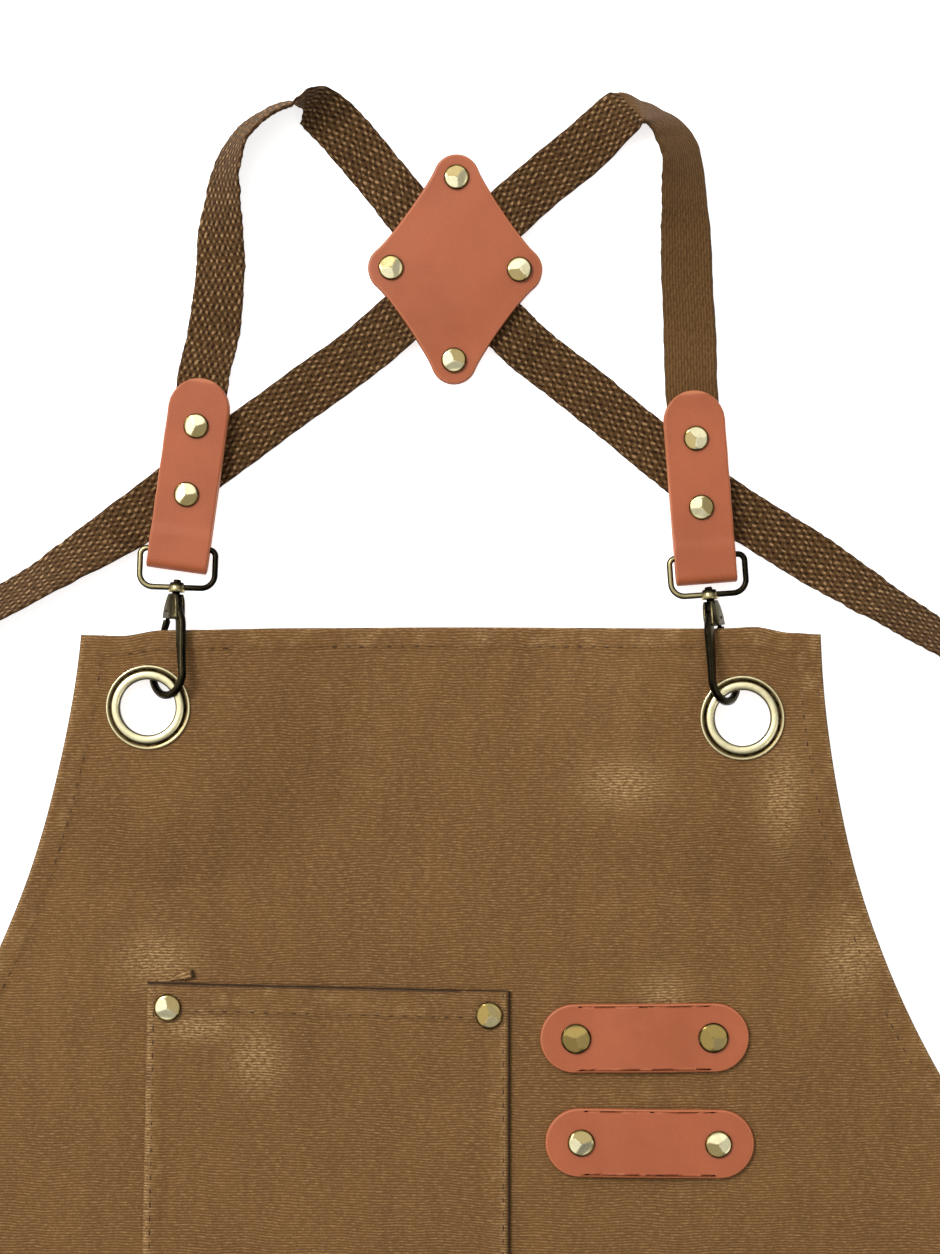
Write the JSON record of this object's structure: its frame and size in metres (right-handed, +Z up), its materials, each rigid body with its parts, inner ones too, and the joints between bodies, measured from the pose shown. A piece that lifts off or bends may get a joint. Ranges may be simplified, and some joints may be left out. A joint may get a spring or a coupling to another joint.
{
  "type": "bib apron",
  "caption": "Waxed canvas bib apron lying flat: crossing webbing shoulder straps hooked into eyelets, chest pocket, leather tool strips and a riveted leather crossing patch.",
  "frame": {"origin": "on the surface it lies on, under the middle of its box", "axes": "+Z up out of the apron's face, +Y from the hem towards the shoulder straps, +X to the side of the tool strips"},
  "size_m": [0.696, 1.0584, 0.0205],
  "materials": {
    "canvas": "waxed brown canvas",
    "webbing": "coarse basket weave",
    "leather": "reddish tan, smooth",
    "rivet_brass": "polished, lightly worn",
    "eyelet_brass": "antique",
    "hook_bronze": "dark bronze plating"
  },
  "bodies": {
    "apron": {"apron_panel": "canvas", "chest_pocket": "canvas", "pocket_rivet_left": "rivet_brass", "pocket_rivet_right": "rivet_brass", "tool_loop_upper": "leather", "tool_loop_upper_rivet_left": "rivet_brass", "tool_loop_upper_rivet_right": "rivet_brass", "tool_loop_lower": "leather", "tool_loop_lower_rivet_left": "rivet_brass", "tool_loop_lower_rivet_right": "rivet_brass", "eyelet_left": "eyelet_brass", "eyelet_right": "eyelet_brass", "eyelet_washer_left": "eyelet_brass", "eyelet_washer_right": "eyelet_brass", "hook_ring_left": "hook_bronze", "hook_ring_right": "hook_bronze", "hook_body_left": "hook_bronze", "hook_body_right": "hook_bronze", "leather_tab_left": "leather", "leather_tab_right": "leather", "tab_rivet_upper_left": "rivet_brass", "tab_rivet_lower_left": "rivet_brass", "tab_rivet_upper_right": "rivet_brass", "tab_rivet_lower_right": "rivet_brass", "shoulder_strap_left": "webbing", "shoulder_strap_right": "webbing", "cross_patch_front": "leather", "cross_patch_back": "leather", "patch_rivet_top": "rivet_brass", "patch_rivet_left": "rivet_brass", "patch_rivet_bottom": "rivet_brass", "patch_rivet_right": "rivet_brass"},
    "lever_left": {"hook_lever_left": "hook_bronze"},
    "lever_right": {"hook_lever_right": "hook_bronze"}
  },
  "joints": [
    {"name": "hook_lever_left_pivot", "type": "hinge", "parent": "apron", "child": "lever_left", "pos_m": [-0.09785, 0.32804, 0.00575], "axis": [-0.6998, 0.1083, 0.7061], "range_deg": [0, 8], "stiffness_Nm_per_rad": 0.01},
    {"name": "hook_lever_right_pivot", "type": "hinge", "parent": "apron", "child": "lever_right", "pos_m": [0.11199, 0.32538, 0.00561], "axis": [-0.7915, -0.1713, -0.5866], "range_deg": [0, 10], "stiffness_Nm_per_rad": 0.01}
  ]
}
